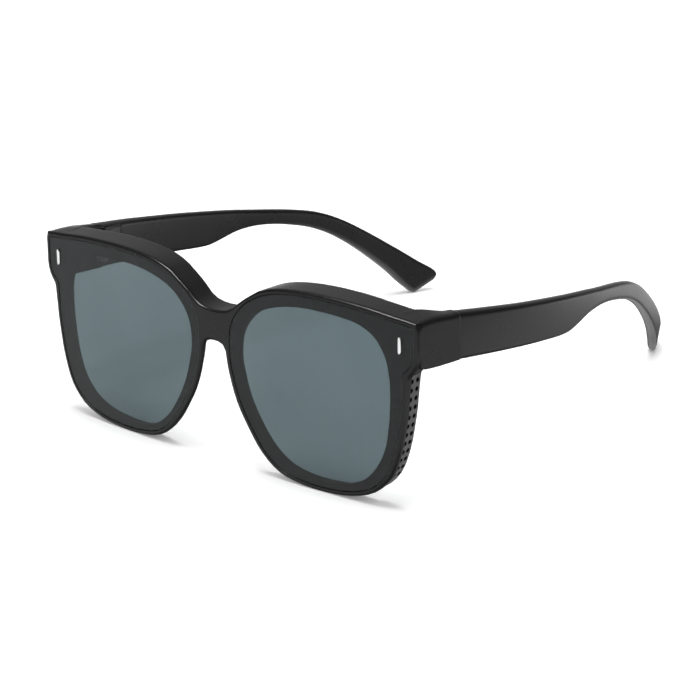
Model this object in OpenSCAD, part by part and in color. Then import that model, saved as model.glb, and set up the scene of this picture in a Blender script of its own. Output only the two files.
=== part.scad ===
// Square sunglasses with front-set lens plates, vented side shields and folding temples.
// They stand open, as on a table: on the lowest point of each rim and on both temple tips.
// x runs to the viewer's right, y from the lenses back to the temple tips, z up.
// Left and right are the sides as seen from the front.

/* [Lens plates] */
// Width of one lens plate
plate_w = 63.9; // [60:0.1:67]
// Height of one lens plate
plate_h = 55.9; // [52:0.1:60]
// Gap between the two plates at the nose
plate_gap = 11.8; // [10:0.1:15]
// Thickness of a plate
plate_t = 1.3; // [1.2:0.1:1.8]
// Play between a plate's edge and its recess
plate_play = 0.12; // [0.05:0.01:0.2]
// How far a plate's face lies below the lip
plate_sink = 0.15; // [0.05:0.05:0.3]
// How far the rims and temple tips are flattened where they rest
rest_flat = 0.1; // [0.05:0.05:0.3]
// Radius of the curve that the whole front follows
face_r = 775; // [500:5:1200]

/* [Rims and bridge] */
// Width of the lip round a plate
lip_w = 1.4; // [1.1:0.1:2]
// Rounding of the lip's outer edge
edge_r = 0.8; // [0.3:0.1:0.9]
// Thickness of the ledge that a plate is glued to
ledge_t = 1.2; // [1:0.1:1.6]
// Depth of the rim at the sides and the bottom
rim_depth = 5; // [4.6:0.1:6.5]
// Depth of the rim beside the nose
nose_depth = 4; // [3.6:0.1:4.6]
// Depth of the brow at its middle
brow_depth = 9.7; // [8.4:0.1:12]
// Depth of the bridge
bridge_depth = 8; // [6:0.1:9]
// Height of the bridge
bridge_h = 9.5; // [7:0.1:12]
// Drop from the top of the brow to the top of the bridge
bridge_drop = 12; // [10:0.1:14]
// How far the nose side of the rim leans out towards its back
nose_flare = 2.4; // [1:0.1:2.6]

/* [End pieces] */
// Distance from the front to the seam with the temple
seam_y = 22.9; // [20:0.1:28]
// Height of the end piece at the seam
seam_h = 14.1; // [12:0.1:16]
// Drop from the outer corner's top to the top of the seam
seam_drop = 1.6; // [0:0.1:3]
// Thickness of the end piece at the seam
seam_t = 4.3; // [4:0.1:5.5]
// Gap between the end piece and the temple
seam_gap = 0.15; // [0.1:0.05:0.3]

/* [Hinges] */
// How far the hinge's axis lies inside the seam's inner edge
hinge_in = 0.4; // [0.2:0.1:0.6]
// Radius of a knuckle
knuckle_r = 1.7; // [1.5:0.05:2]
// Height of one knuckle
knuckle_h = 1.7; // [1.3:0.1:2]
// Gap between two knuckles
knuckle_gap = 0.1; // [0.05:0.05:0.2]
// Room round the knuckles in the plastic
knuckle_room = 0.25; // [0.15:0.05:0.4]
// Thickness of a hinge leaf
leaf_t = 1.1; // [0.8:0.1:1.3]
// Plastic over the leaf on the temple's inner face
leaf_cover = 0.3; // [0.2:0.1:0.4]
// Length of a hinge leaf behind its knuckles
leaf_len = 8; // [5:0.5:10]
// Radius of the hinge screw
screw_r = 0.7; // [0.5:0.05:0.9]
// Radial play of the screw in the knuckles
screw_play = 0.04; // [0.02:0.01:0.08]
// Radius of the screw's head
screw_head_r = 1.2; // [1:0.05:1.4]
// Height of the screw's head
screw_head_h = 0.7; // [0.5:0.1:1]

/* [Temples] */
// Distance from the seam to the lowest point of the tip
temple_len = 137.1; // [125:0.5:145]
// Outward angle of the temple at its hinge
temple_splay = 7.7; // [4:0.1:9]
// How far the tip stands inside the hinge
tip_inset = 20; // [12:0.5:26]
// Thickness of the temple at its middle
temple_t = 3.2; // [2.6:0.1:4]
// Largest rounding of the temple's long edges
temple_edge = 1.8; // [0.8:0.1:2.2]

/* [Side vents] */
// Thickness of the perforated side panel
vent_t = 1.4; // [1:0.1:1.6]
// Thickness of the rim between a plate's recess and the panel's front edge
vent_wall = 0.25; // [0.2:0.05:0.5]
// How far the panel lies inside the lip
vent_step = 0.35; // [0.2:0.05:0.6]
// Distance from the front plane to the panel's back edge, at its top
vent_back = 9.4; // [9:0.1:12]
// How much nearer the back edge is at the bottom
vent_taper = 1.1; // [0:0.1:2]
// Diameter of one hole
vent_hole_d = 1.4; // [0.8:0.05:1.5]
// Distance along the panel from its top to the first row of holes
vent_first = 2.1; // [1.5:0.1:3]
// Distance from one row of holes to the next
vent_pitch = 2.68; // [2.3:0.02:2.8]
// Distance from the lip to the middle of the front holes
vent_lead = 0.85; // [0.8:0.05:1.2]
// Distance from the back edge to the middle of the rear holes
vent_tail = 1.4; // [1:0.1:1.8]
// Rows of holes
vent_rows = 13; // [8:1:14]
// Rounding of the panel's front corner at its top
vent_round = 2.6; // [1.5:0.1:3.5]

/* [Rivets] */
// Height of a rivet's face
rivet_h = 4.8; // [3:0.1:6]
// Width of a rivet's face
rivet_w = 1.4; // [1:0.1:1.8]
// How far a rivet stands out of its plate
rivet_proud = 0.45; // [0.1:0.05:0.6]
// Distance from the plate's outer edge to the rivet's middle
rivet_in = 4.3; // [3:0.1:6]
// Distance from the plate's outer corner down to the rivet's middle
rivet_down = 5.7; // [4:0.1:8]

/* [Hidden] */

black = "#2b2b2d";
grey = "#4a4b4e";
smoke = [0.25, 0.31, 0.34, 0.75];
steel = "#c9cacc";

nose_x = plate_gap / 2;
recess = plate_t + plate_sink;
ledge_back = recess + ledge_t;
corner_depth = ledge_back + 0.3;
vent_front = recess + vent_wall;
brow_z = plate_h + 2 * lip_w;
bridge_z = brow_z - bridge_drop;
arch_z = bridge_z - bridge_h;
rebate = vent_step + vent_t + 0.05;

function mix(a, b, t) = a + (b - a) * t;
function unit(v) = v / norm(v);
// Depth of the front's face at x, behind its middle
function face(x) = face_r - sqrt(face_r * face_r - x * x);

// The rim, once round the right lens: up the nose side, over the brow, down the side, back
// along the bottom. Each row holds the plate's edge and the opening's edge as shares of the
// plate's width and height, the steps to the next row, the depth of the rim there, how far
// its outer wall leans in towards the back, how far its inner wall lies behind the ledge, and
// the lip's width there as a share of lip_w.
RIM = [
    [0.002, 0.566, 0.058, 0.562, 1, nose_depth, nose_flare, 0.4, 1.2],
    [0.000, 0.594, 0.056, 0.589, 1, nose_depth, nose_flare, 0.4, 1],
    [0.000, 0.616, 0.056, 0.611, 1, mix(nose_depth, bridge_depth, 0.2), nose_flare, 0.5, 1],
    [0.000, 0.637, 0.056, 0.634, 1, mix(nose_depth, bridge_depth, 0.4), nose_flare, 0.68, 1],
    [0.000, 0.659, 0.058, 0.655, 1, mix(nose_depth, bridge_depth, 0.5), nose_flare, 0.78, 1],
    [0.001, 0.691, 0.063, 0.688, 1, mix(nose_depth, bridge_depth, 0.7), 0, 0.88, 1],
    [0.005, 0.725, 0.072, 0.722, 1, mix(nose_depth, bridge_depth, 0.9), 0, 0.95, 1],
    [0.014, 0.761, 0.086, 0.754, 1, bridge_depth, 0.2, 0.97, 1],
    [0.027, 0.791, 0.103, 0.783, 1, bridge_depth, 0.2, 0.95, 1],
    [0.044, 0.822, 0.124, 0.811, 1, bridge_depth, 0.2, 0.92, 1],
    [0.066, 0.852, 0.147, 0.836, 1, bridge_depth, 0.2, 0.9, 1],
    [0.094, 0.883, 0.174, 0.858, 1, mix(bridge_depth, brow_depth, 0.1), 0.2, 0.87, 1],
    [0.127, 0.910, 0.203, 0.876, 1, mix(bridge_depth, brow_depth, 0.2), 0.2, 0.84, 1],
    [0.177, 0.942, 0.241, 0.892, 2, mix(bridge_depth, brow_depth, 0.35), 0.2, 0.8, 1],
    [0.244, 0.970, 0.299, 0.911, 3, mix(bridge_depth, brow_depth, 0.6), 0.2, 0.75, 1],
    [0.361, 0.992, 0.396, 0.929, 3, mix(bridge_depth, brow_depth, 0.9), 0.2, 0.7, 1],
    [0.502, 1.000, 0.502, 0.933, 3, brow_depth, 0.2, 0.7, 1],
    [0.643, 0.997, 0.612, 0.928, 3, mix(bridge_depth, brow_depth, 0.9), 0.2, 0.7, 1],
    [0.784, 0.987, 0.700, 0.915, 3, mix(bridge_depth, brow_depth, 0.4), 0.1, 0.75, 1],
    [0.909, 0.970, 0.765, 0.885, 3, mix(bridge_depth, brow_depth, 0.3), -0.1, 0.8, 1],
    [0.985, 0.9605, 0.803, 0.852, 1, mix(rim_depth, bridge_depth, 0.3), 0.1, 0.8, 1],
    [0.996, 0.9565, 0.813, 0.838, 1, corner_depth, 0.3, 0.8, 1.3],
    [1.000, 0.948, 0.822, 0.823, 1, corner_depth, 0.03, 0.8, 1],
    [1.000, 0.930, 0.829, 0.811, 1, corner_depth, 0.03, 0.8, 1],
    [1.000, 0.900, 0.838, 0.793, 1, corner_depth, 0.03, 0.78, 1],
    [1.000, 0.861, 0.847, 0.772, 2, corner_depth, 0.03, 0.75, 1],
    [0.9965, 0.781, 0.858, 0.734, 2, corner_depth, 0.1, 0.65, 1],
    [0.979, 0.746, 0.864, 0.698, 2, rim_depth, 0, 0.6, 1.2],
    [0.948, 0.712, 0.869, 0.664, 2, rim_depth, 0, 0.5, 1.5],
    [0.943, 0.655, 0.872, 0.623, 2, rim_depth, 0, 0.5, 1.35],
    [0.944, 0.566, 0.873, 0.548, 3, rim_depth, 0, 0.5, 1],
    [0.930, 0.423, 0.866, 0.419, 3, rim_depth, 0, 0.5, 1],
    [0.905, 0.279, 0.847, 0.288, 3, rim_depth, 0, 0.5, 1],
    [0.861, 0.152, 0.804, 0.183, 3, rim_depth, 0, 0.5, 1],
    [0.787, 0.066, 0.740, 0.099, 3, rim_depth, 0.2, 0.4, 1],
    [0.674, 0.018, 0.648, 0.048, 3, rim_depth, 0.3, 0.35, 1],
    [0.534, 0.000, 0.526, 0.030, 3, rim_depth, 0.3, 0.35, 1],
    [0.401, 0.005, 0.412, 0.031, 3, rim_depth, 0.17 * nose_flare, 0.35, 1],
    [0.283, 0.036, 0.315, 0.061, 3, mix(rim_depth, nose_depth, 0.2), 0.3 * nose_flare, 0.35, 1.05],
    [0.194, 0.111, 0.233, 0.129, 3, mix(rim_depth, nose_depth, 0.5), 0.55 * nose_flare, 0.37, 1.1],
    [0.117, 0.229, 0.158, 0.245, 3, mix(rim_depth, nose_depth, 0.8), 0.75 * nose_flare, 0.4, 1.15],
    [0.056, 0.351, 0.105, 0.365, 3, nose_depth, 0.9 * nose_flare, 0.4, 1.2],
    [0.019, 0.476, 0.072, 0.489, 2, nose_depth, nose_flare, 0.4, 1.2],
];
rim_rows = len(RIM);
// The first and last row of the bridge, those on the middle plane, and those of a side panel
bridge_rows = [1, 12];
middle_rows = [4, 7];
vent_rim_rows = [28, 34];
// The bridge's outline for its rows: x as a share of nose_x, and z with shares of bridge_h
function arch(f) = arch_z + f * bridge_h;
function bridge_top(f) = bridge_z + f * bridge_h;
BRIDGE = [
    [0.69, arch(-0.242)], [0.53, arch(-0.074)], [0.27, arch(-0.011)], [0, arch_z],
    [0, arch(0.33)], [0, arch(0.67)], [0, bridge_z], [0.44, bridge_top(0.016)],
    [0.85, bridge_top(0.068)], [1.22, bridge_top(0.19)], [1.59, bridge_top(0.39)],
    [2.0, bridge_top(0.584)],
];

function on_plate(fx, fz) = [nose_x + fx * plate_w, lip_w + fz * plate_h];
plate_rows = [for (r = RIM) on_plate(r[0], r[1])];
opening_rows = [for (r = RIM) on_plate(r[2], r[3])];

// A smooth closed curve through the points p, at share t of the way from point i to the next
function at(p, i) = p[(i + len(p)) % len(p)];
function chord(p, i) = norm(at(p, i + 1) - at(p, i));
function slope(p, i) =
    let (a = chord(p, i - 1), b = chord(p, i))
    ((at(p, i) - at(p, i - 1)) * b / a + (at(p, i + 1) - at(p, i)) * a / b) / (a + b);
function curve(p, i, t) =
    let (h = chord(p, i), t2 = t * t, t3 = t * t * t)
    at(p, i) * (2 * t3 - 3 * t2 + 1) + slope(p, i) * h * (t3 - 2 * t2 + t)
    + at(p, i + 1) * (3 * t2 - 2 * t3) + slope(p, i + 1) * h * (t3 - t2);

// Stations round the rim: the row and the share of the way to the next one
STATIONS = [for (i = [0:rim_rows - 1]) for (s = [0:RIM[i][4] - 1]) [i, s / RIM[i][4]]];
count = len(STATIONS);
plate_line = [for (s = STATIONS) curve(plate_rows, s[0], s[1])];
opening_line = [for (s = STATIONS) curve(opening_rows, s[0], s[1])];
function rim_value(j, c) =
    let (s = STATIONS[j]) mix(RIM[s[0]][c], RIM[(s[0] + 1) % rim_rows][c], s[1]);
function in_rows(j, rows) = STATIONS[j][0] >= rows[0] && STATIONS[j][0] + STATIONS[j][1] <= rows[1];
function on_middle(j) = in_rows(j, middle_rows);
// Unit normal to the left of a closed line at j, which points out of the rim
function left_normal(p, j) =
    let (d = unit(at(p, j + 1) - at(p, j - 1))) [-d[1], d[0]];
rim_line = [for (j = [0:count - 1])
    in_rows(j, bridge_rows)
        ? let (b = BRIDGE[STATIONS[j][0] - bridge_rows[0]]) [b[0] * nose_x, b[1]]
        : plate_line[j] + lip_w * rim_value(j, 8) * left_normal(plate_line, j)];
function inward(j) =
    STATIONS[j][0] == middle_rows[0] && on_middle(j) ? [0, 1]
    : STATIONS[j][0] == middle_rows[1] && on_middle(j) ? [0, -1]
    : on_middle(j) ? [0, 0] : -left_normal(rim_line, j);
function step_in(j) = in_rows(j, vent_rim_rows) ? rebate : 0;

// A point of the front at x and z of q, at depth d behind the face
function deep(q, d) = [q[0], face(q[0]) + d, q[1]];
// One section through the rim: lip and its rounding, outer wall, back, inner wall, ledge, recess
function rim_section(j) =
    let (o = rim_line[j], p = plate_line[j], a = opening_line[j], n = inward(j), s = step_in(j),
         back = rim_value(j, 5), lean = rim_value(j, 6) / (back - edge_r), inner = mix(a, p, rim_value(j, 7)),
         waist = s > 0 ? vent_front : vent_front + 0.6)
    [deep(p, 0), deep(o + n * edge_r, 0), deep(o + n * edge_r * 0.5, edge_r * 0.134),
     deep(o + n * edge_r * 0.134, edge_r * 0.5), deep(o, edge_r),
     deep(o + n * lean * (vent_front - edge_r), vent_front),
     deep(o + n * (s + lean * (waist - edge_r)), waist),
     deep(o + n * (s + lean * (back - edge_r)), back), deep(inner, back), deep(inner, ledge_back),
     deep(a, ledge_back), deep(a, recess), deep(p, recess)];
sides = 13;

// Both rims as one closed skin: the right half, and its mirror image joined at the bridge
function vertex(half, j, k) =
    let (i = (j % count), q = k % sides)
    half == 1 && on_middle(i) && q >= 1 && q <= 7 ? i * sides + q : (half * count + i) * sides + q;
function open_face(j, k) = on_middle(j) && on_middle((j + 1) % count) && k >= 1 && k <= 6;
rim_points = [for (half = [0, 1]) for (j = [0:count - 1]) for (q = rim_section(j))
    [half == 0 ? q[0] : -q[0], q[1], q[2]]];
rim_faces = [for (half = [0, 1]) for (j = [0:count - 1]) for (k = [0:sides - 1])
    if (!open_face(j, k))
        let (a = vertex(half, j, k), b = vertex(half, j + 1, k),
             c = vertex(half, j + 1, k + 1), d = vertex(half, j, k + 1))
        each half == 0 ? [[c, b, a], [d, c, a]] : [[a, b, c], [a, c, d]]];

// A closed skin over sections that hold the same number of points
module skin(sections) {
    n = len(sections[0]);
    last = len(sections) - 1;
    points = [for (s = sections) for (q = s) q];
    walls = [for (i = [0:last - 1]) for (k = [0:n - 1])
        let (a = i * n + k, b = i * n + (k + 1) % n)
        each [[a, b + n, b], [a, a + n, b + n]]];
    ends = [[for (k = [0:n - 1]) k], [for (k = [n - 1:-1:0]) last * n + k]];
    polyhedron(points = points, faces = concat(walls, ends));
}

// The corners p with each one rounded off by five points at its own distance in r
function rounded(p, r) = [for (i = [0:len(p) - 1])
    let (c = p[i], a = c + r[i] * unit(at(p, i - 1) - c), b = c + r[i] * unit(at(p, i + 1) - c))
    for (t = [0:0.25:1]) a * (1 - t) * (1 - t) + c * 2 * t * (1 - t) + b * t * t];

// The rows of a table with smooth rows between them, steps to each gap
function row_slope(table, i) = (table[min(i + 1, len(table) - 1)] - table[max(i - 1, 0)]) / 2;
function row_at(table, i, t) =
    let (t2 = t * t, t3 = t * t * t)
    table[i] * (2 * t3 - 3 * t2 + 1) + row_slope(table, i) * (t3 - 2 * t2 + t)
    + table[i + 1] * (3 * t2 - 2 * t3) + row_slope(table, i + 1) * (t3 - t2);
function smooth_rows(table, steps) =
    concat([for (i = [0:len(table) - 2]) for (k = [0:steps - 1]) row_at(table, i, k / steps)],
        [table[len(table) - 1]]);

corner_x = nose_x + plate_w + lip_w;
corner_top = lip_w + 0.959 * plate_h + lip_w * 0.88;
corner_low = lip_w + 0.748 * plate_h;
seam_top = corner_top - seam_drop;
seam_low = seam_top - seam_h;
seam_in = corner_x - seam_t;

// The end piece from behind the plate at the rim's corner back to the seam, in rows: the share
// of the way, as shares of seam_t how thick it is at the top and at the bottom and how far its
// inner edge stands up, the rounding of its upper edge against temple_edge, and the share of
// seam_drop that its top has come down
END_PIECE = [
    [0, 2, 1.35, 0.22, 0.86, 0],
    [0.15, 1.95, 1.3, 0.26, 0.88, 0.02],
    [0.3, 1.8, 1.22, 0.3, 0.9, 0.12],
    [0.47, 1.46, 1.12, 0.28, 0.93, 0.32],
    [0.66, 1.16, 1.05, 0.18, 0.97, 0.63],
    [0.84, 1.04, 1.02, 0.06, 1, 0.88],
    [1, 1, 1, 0, 1, 1],
];
module end_piece() {
    front_y = face(corner_x) + recess + 0.3;
    outer = corner_x - 0.02;
    skin([for (r = smooth_rows(END_PIECE, 3))
        let (top = mix(corner_top, seam_top, r[5]), low = mix(corner_low, seam_low, sqrt(r[0])),
             inner = corner_x - seam_t * r[1], foot = corner_x - seam_t * r[2], rise = seam_t * r[3])
        [for (q = rounded([[foot, low], [inner, top + rise], [outer, top], [outer, low]],
                [edge_r, edge_r, temple_edge * r[4], edge_r]))
            [q[0], mix(front_y, seam_y, r[0]), q[1]]]]);
}

// Hinge axis
hinge_x = seam_in - hinge_in;
hinge_y = seam_y;
knuckles = 5;
hinge_h = knuckles * knuckle_h + (knuckles - 1) * knuckle_gap;
hinge_z = seam_low + (seam_h - hinge_h) / 2;
leaf_x = hinge_in + leaf_cover;
leaf_start = knuckle_r + knuckle_room + 0.1;

// A hinge leaf round the axis: the plate runs along dir (1 back, -1 forward) and holds the
// knuckles whose numbers are in held
module leaf_body(held, dir) {
    for (k = held) {
        z = k * (knuckle_h + knuckle_gap);
        translate([0, 0, z]) cylinder(r = knuckle_r, h = knuckle_h, $fn = 48);
        translate([leaf_x, dir > 0 ? 0 : -leaf_start - 0.5, z])
            cube([leaf_t, leaf_start + 0.5, knuckle_h]);
    }
    translate([leaf_x, dir > 0 ? leaf_start : -leaf_start - leaf_len, 0])
        cube([leaf_t, leaf_len, hinge_h]);
}
module hinge_leaf(held, dir) {
    difference() {
        leaf_body(held, dir);
        translate([0, 0, -1]) cylinder(r = screw_r + screw_play, h = hinge_h + 2, $fn = 32);
        translate([0, 0, hinge_h - screw_head_h / 2])
            cylinder(r = screw_head_r + screw_play, h = screw_head_h, $fn = 32);
    }
}
module at_hinge(turn = 0) {
    translate([hinge_x, hinge_y, hinge_z]) rotate([0, 0, turn]) children();
}
module front_leaf() {
    color(steel) at_hinge() hinge_leaf([0, 2, 4], -1);
}
module temple_leaf() {
    color(steel) at_hinge(-temple_splay) hinge_leaf([1, 3], 1);
}
// Room for the knuckles in the plastic on both sides of the seam
module knuckle_pocket() {
    at_hinge() translate([0, 0, -knuckle_room])
        cylinder(r = knuckle_r + knuckle_room, h = hinge_h + 2 * knuckle_room + screw_head_h, $fn = 48);
}
module screw() {
    color(steel) at_hinge() difference() {
        union() {
            cylinder(r = screw_r, h = hinge_h, $fn = 32);
            translate([0, 0, hinge_h - screw_head_h / 2]) cylinder(r = screw_head_r, h = screw_head_h, $fn = 32);
        }
        translate([-screw_head_r - 1, -0.15, hinge_h + screw_head_h * 0.1])
            cube([2 * screw_head_r + 2, 0.3, screw_head_h]);
    }
}

rivet_x = nose_x + plate_w - rivet_in;
rivet_z = lip_w + 0.959 * plate_h - rivet_down;
rivet_deep = recess + 1.4;
// A rivet's oblong outline, grown by g
module rivet_shape(g) {
    r = rivet_w / 2 + g;
    for (s = [-1, 1]) translate([0, s * (rivet_h / 2 - rivet_w / 2)]) circle(r = r, $fn = 32);
    square([2 * r, rivet_h - rivet_w], center = true);
}
module rivet_bar(front, back, g) {
    translate([rivet_x, back, rivet_z]) rotate([90, 0, 0]) linear_extrude(back - front) rivet_shape(g);
}
module rivet() {
    top = face(rivet_x) + plate_sink;
    color(steel) difference() {
        rivet_bar(top - rivet_proud, top + rivet_deep, 0);
        translate([rivet_x - 0.18 * rivet_w - rivet_w, top - rivet_proud - 1, rivet_z - 0.15 * rivet_w])
            cube([rivet_w, 1.3, 0.3 * rivet_w]);
        translate([rivet_x + 0.28 * rivet_w, top - rivet_proud - 1, rivet_z + 0.32 * rivet_w])
            cube([rivet_w, 1.3, rivet_h / 2]);
    }
}
module rivet_hole() {
    top = face(rivet_x) + plate_sink;
    rivet_bar(top - 2, top + rivet_deep, 0);
}

module leaf_slots() {
    at_hinge() translate([leaf_x, -leaf_start - leaf_len, 0]) cube([leaf_t, leaf_start + leaf_len, hinge_h]);
}
// The table, which the rims and the tips stand on with small flats
table_z = min([for (q = rim_line) q[1]]) + rest_flat;
module below_table() {
    translate([-corner_x, -rim_depth, table_z - seam_h])
        cube([2 * corner_x, seam_y + 2 * temple_len, seam_h]);
}
module front_half_cuts() {
    knuckle_pocket();
    leaf_slots();
    rivet_hole();
}
module front_frame() {
    color(black) difference() {
        union() {
            polyhedron(points = rim_points, faces = rim_faces);
            end_piece();
            mirror([1, 0, 0]) end_piece();
        }
        front_half_cuts();
        mirror([1, 0, 0]) front_half_cuts();
        below_table();
    }
}

// The space between two depths behind the front's face, over the right half
module face_band(front, back) {
    across = [for (i = [0:25]) (corner_x + 3) * i / 25];
    translate([0, 0, -5]) linear_extrude(brow_z + 10)
        polygon(concat([for (x = across) [x, face(x) + front]],
            [for (x = across) [corner_x + 3 - x, face(corner_x + 3 - x) + back]]));
}
module lens() {
    outline = [for (j = [0:count - 1]) plate_line[j] - plate_play * left_normal(plate_line, j)];
    color(smoke) difference() {
        intersection() {
            face_band(plate_sink, recess);
            translate([0, seam_y, 0]) rotate([90, 0, 0]) linear_extrude(2 * seam_y) polygon(outline);
        }
        rivet_hole();
    }
}

vent_stations = [for (j = [0:count - 1]) if (in_rows(j, vent_rim_rows)) j];
function vent_line(inset) = [for (j = vent_stations) rim_line[j] + inset * inward(j)];
vent_mid = vent_line(vent_step + vent_t / 2);
function length_to(p, n) = n == 0 ? 0 : norm(p[n] - p[n - 1]) + length_to(p, n - 1);
vent_lengths = [for (n = [0:len(vent_mid) - 1]) length_to(vent_mid, n)];
// The point and direction of the panel's middle line at length s
function along(s) =
    let (n = max([for (i = [0:len(vent_lengths) - 2]) if (vent_lengths[i] <= s) i]),
         d = unit(vent_mid[n + 1] - vent_mid[n]))
    [vent_mid[n] + d * (s - vent_lengths[n]), d];
vent_top = vent_mid[0][1];
vent_low = min([for (q = vent_line(0)) q[1]]);
function vent_edge(z) = vent_back - vent_taper * (vent_top - z) / (vent_top - vent_low);
module vent_hole(spot, y) {
    translate([spot[0][0], y, spot[0][1]])
        rotate([0, atan2(spot[1][1], -spot[1][0]), 0])
            translate([0, 0, -vent_t * 2]) cylinder(d = vent_hole_d, h = vent_t * 4, $fn = 24);
}
// The panel's outline from the side: the front corner at its top is rounded
module vent_side() {
    r = vent_round;
    high = vent_top + 1;
    low = vent_low - 1;
    start = face(corner_x) + vent_front - 0.4;
    polygon(concat([[-1, low], [vent_edge(low), low], [vent_edge(high), high], [start + r, high]],
        [for (a = [15:15:75]) [start + r - r * sin(a), high - r + r * cos(a)]],
        [[start, high - r], [-1, high - r - 3]]));
}
module vent_panel() {
    band = concat(vent_line(vent_step), [for (i = [len(vent_stations) - 1:-1:0]) vent_line(vent_step + vent_t)[i]]);
    color(grey) difference() {
        intersection() {
            translate([0, vent_back, 0]) rotate([90, 0, 0]) linear_extrude(vent_back) polygon(band);
            face_band(vent_front, vent_back + 5);
            rotate([90, 0, 90]) linear_extrude(2 * corner_x) vent_side();
        }
        for (row = [0:vent_rows - 1]) {
            spot = along(vent_first + row * vent_pitch);
            vent_hole(spot, face(spot[0][0]) + vent_front + vent_lead);
            if (row < vent_rows - 1) vent_hole(spot, vent_edge(spot[0][1]) - vent_tail);
        }
    }
}

// Rows along a temple: share of its length, height of its middle as a share of the seam's,
// height of the section, the angle it leans back by, its thickness against temple_t, and how
// far it bows out there, also against temple_t
TEMPLE = [
    [0.000, 0.998, 1.000, 0, 1.34, 0],
    [0.100, 0.958, 0.960, 0, 1.18, 0],
    [0.200, 0.915, 0.921, 0, 1.08, 0],
    [0.285, 0.880, 0.889, 0, 1.02, 0],
    [0.345, 0.855, 0.862, 0, 1.00, 0],
    [0.385, 0.843, 0.810, 0, 0.99, 0],
    [0.430, 0.842, 0.665, 2, 0.98, 0],
    [0.475, 0.842, 0.510, 4, 0.97, 0],
    [0.530, 0.828, 0.395, 7, 0.97, 0],
    [0.590, 0.801, 0.360, 11, 0.98, 0],
    [0.650, 0.763, 0.376, 17, 0.99, 0.03],
    [0.712, 0.711, 0.407, 24, 1.00, 0.12],
    [0.773, 0.632, 0.434, 30, 1.02, 0.25],
    [0.833, 0.525, 0.464, 34, 1.08, 0.38],
    [0.893, 0.398, 0.520, 37, 1.20, 0.53],
    [0.948, 0.269, 0.598, 40, 1.30, 0.56],
    [0.985, 0.172, 0.690, 48, 1.28, 0.46],
    [1.010, 0.112, 0.780, 58, 1.15, 0.27],
    [1.020, 0.081, 0.790, 62, 1.00, 0.13],
    [1.0235, 0.058, 0.730, 63, 0.80, 0.03],
    [1.0245, 0.0405, 0.620, 63, 0.55, -0.08],
];
temple_rows = smooth_rows(TEMPLE, 3);
seam_mid = (seam_top + seam_low) / 2;
// The outer face seen from above, at share t of the length: out at the hinge, then in to the tip
function outer_x(t) =
    let (out = temple_len * tan(temple_splay)) corner_x - 0.05 + out * t - (out + tip_inset) * t * t;
function temple_section(r) =
    let (y = seam_y + seam_gap + r[0] * temple_len, z = r[1] * seam_mid, h = r[2] * seam_h / 2, t = temple_t * r[4],
         e = min(temple_edge, 0.42 * t), c = rounded([[-t, -h], [-t, h], [0, h], [0, -h]], [e, e, e, e]))
    [for (q = c)
        let (py = y + q[1] * sin(r[3]))
        [outer_x((py - seam_y) / temple_len) + r[5] * temple_t + q[0], py, z + q[1] * cos(r[3])]];
module temple() {
    color(black) difference() {
        skin([for (r = temple_rows) temple_section(r)]);
        knuckle_pocket();
        at_hinge(-temple_splay) translate([leaf_x, 0, 0]) cube([leaf_t, leaf_start + leaf_len, hinge_h]);
        below_table();
    }
}

// The model's origin: the middle of its box, on the table
tip_y = max([for (r = temple_rows) for (q = temple_section(r)) q[1]]);
module place() {
    translate([0, -tip_y / 2, -table_z]) children();
}
module place_left() {
    place() mirror([1, 0, 0]) children();
}

place() front_frame();
place_left() lens();  // lens_left
place() lens();  // lens_right
place_left() vent_panel();  // vent_panel_left
place() vent_panel();  // vent_panel_right
place_left() rivet();  // rivet_left
place() rivet();  // rivet_right
place_left() front_leaf();  // front_hinge_left
place() front_leaf();  // front_hinge_right
place_left() temple_leaf();  // temple_hinge_left
place() temple_leaf();  // temple_hinge_right
place_left() screw();  // hinge_screw_left
place() screw();  // hinge_screw_right
place_left() temple();  // temple_left
place() temple();  // temple_right
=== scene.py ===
"""Square sunglasses: finishes, dressed pieces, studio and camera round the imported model."""

import logging
import math
from dataclasses import dataclass
from enum import Enum

import bmesh
import bpy
from mathutils import Matrix, Vector


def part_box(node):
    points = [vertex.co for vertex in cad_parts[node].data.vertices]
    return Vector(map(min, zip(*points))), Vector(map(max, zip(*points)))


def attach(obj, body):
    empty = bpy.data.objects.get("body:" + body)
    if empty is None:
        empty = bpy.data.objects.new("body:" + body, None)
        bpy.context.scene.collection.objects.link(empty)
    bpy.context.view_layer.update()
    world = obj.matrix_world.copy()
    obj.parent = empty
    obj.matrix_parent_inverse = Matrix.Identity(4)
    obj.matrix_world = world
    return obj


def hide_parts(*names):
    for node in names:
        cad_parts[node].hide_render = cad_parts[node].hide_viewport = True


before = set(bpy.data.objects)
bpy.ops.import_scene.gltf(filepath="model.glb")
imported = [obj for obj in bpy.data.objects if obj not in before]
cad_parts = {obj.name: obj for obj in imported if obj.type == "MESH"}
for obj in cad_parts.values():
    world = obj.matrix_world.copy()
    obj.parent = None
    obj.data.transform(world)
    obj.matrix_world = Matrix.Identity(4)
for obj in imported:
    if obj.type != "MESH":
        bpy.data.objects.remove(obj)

LOG = logging.getLogger("sunglasses")

# A millimetre in metres, the gap that is welded, and the degrees from which an edge stays sharp
MM = 0.001
WELD = 0.001 * MM
CREASE = 32.0
WHITE = (1.0, 1.0, 1.0, 1.0)

Socket = bpy.types.NodeSocket
Number = bpy.types.NodeSocket | float
Triple = tuple[float, float, float]
Range = tuple[float, float]


class Body(Enum):
    """The bodies that the pieces ride on."""

    FRONT = "front"
    TEMPLE_LEFT = "temple_left"
    TEMPLE_RIGHT = "temple_right"


class Side(Enum):
    """Which half of the sunglasses a piece belongs to, as seen from the front."""

    LEFT = "left"
    RIGHT = "right"

    @property
    def temple(self) -> Body:
        """The body of this side's temple."""
        return Body[f"TEMPLE_{self.name}"]


class Axis(Enum):
    """The directions along which the floor changes."""

    X = "X"
    Y = "Y"


# Node trees


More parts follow.
